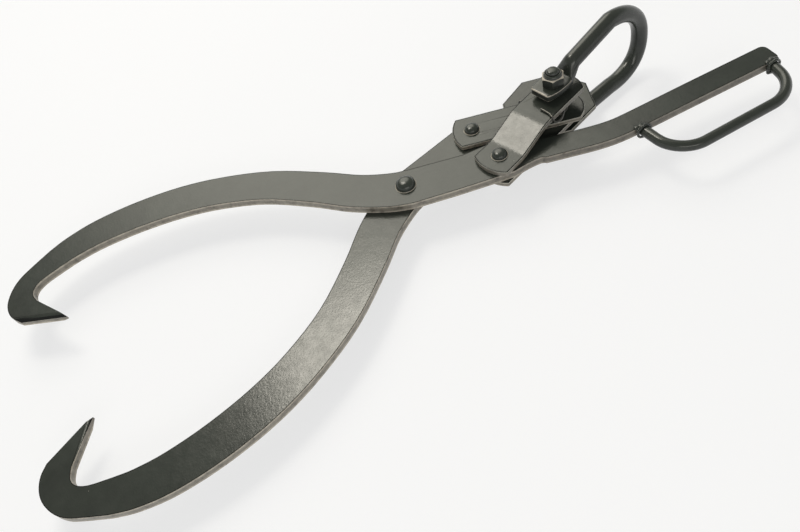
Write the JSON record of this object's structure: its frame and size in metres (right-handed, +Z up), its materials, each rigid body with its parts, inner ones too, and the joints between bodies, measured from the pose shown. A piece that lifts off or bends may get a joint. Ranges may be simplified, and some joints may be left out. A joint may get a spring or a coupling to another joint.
{
  "type": "lifting tongs",
  "caption": "Self-gripping lifting tongs with two curved hooked jaws, link plates drawn by a lifting bow, a return spring and a handle bar with a welded grip.",
  "frame": {"origin": "on the lowest point's level, under the middle of the plan outline, with the tongs lying flat", "axes": "+X from the jaws to the handle, +Y to the long arm's jaw, +Z up through the rivets"},
  "size_m": [0.7404, 0.3234, 0.0944],
  "materials": {
    "enamel": "semi-gloss dark olive grey enamel on steel",
    "plated_steel": "plated, dulled",
    "spring_steel": "drawn wire",
    "nylon": "matt"
  },
  "bodies": {
    "handle_arm": {"arm_a": "enamel", "grip": "enamel", "weld_bead_inner": "enamel", "weld_bead_outer": "enamel", "main_rivet": "enamel", "rivet_a": "enamel"},
    "short_arm": {"arm_b": "enamel", "rivet_b": "enamel"},
    "link_a": {"link_a_top": "enamel", "link_a_bottom": "enamel", "bolt": "plated_steel", "nut": "plated_steel", "nut_insert": "nylon", "spacer_washer": "enamel", "spacer_sleeve": "plated_steel", "spring_coil": "spring_steel"},
    "link_b": {"link_b_top": "enamel", "link_b_bottom": "enamel", "spring_lower_leg": "spring_steel"},
    "bow": {"lifting_bow": "enamel"}
  },
  "joints": [
    {"name": "jaw_pivot", "type": "hinge", "parent": "handle_arm", "child": "short_arm", "pos_m": [0.01694, 0, 0.03054], "axis": [0, 0, 1], "range_deg": [-4.4, 50]},
    {"name": "link_a_pivot", "type": "hinge", "parent": "handle_arm", "child": "link_a", "pos_m": [0.10282, -0.02691, 0.03454], "axis": [0, 0, 1], "range_deg": [-4.8, 53.7]},
    {"name": "link_b_pivot", "type": "hinge", "parent": "link_a", "child": "link_b", "pos_m": [0.17975, 0, 0.03454], "axis": [0, 0, 1], "range_deg": [-57.3, 5.1], "stiffness_Nm_per_rad": 0.5},
    {"name": "bow_pivot", "type": "hinge", "parent": "link_a", "child": "bow", "pos_m": [0.17975, 0, 0.03854], "axis": [0, 0, 1], "range_deg": [-15, 100]}
  ],
  "couplings": [
    {"joint": "link_a_pivot", "follows": "jaw_pivot", "ratio": 1.0725},
    {"joint": "link_b_pivot", "follows": "jaw_pivot", "ratio": -1.145}
  ]
}
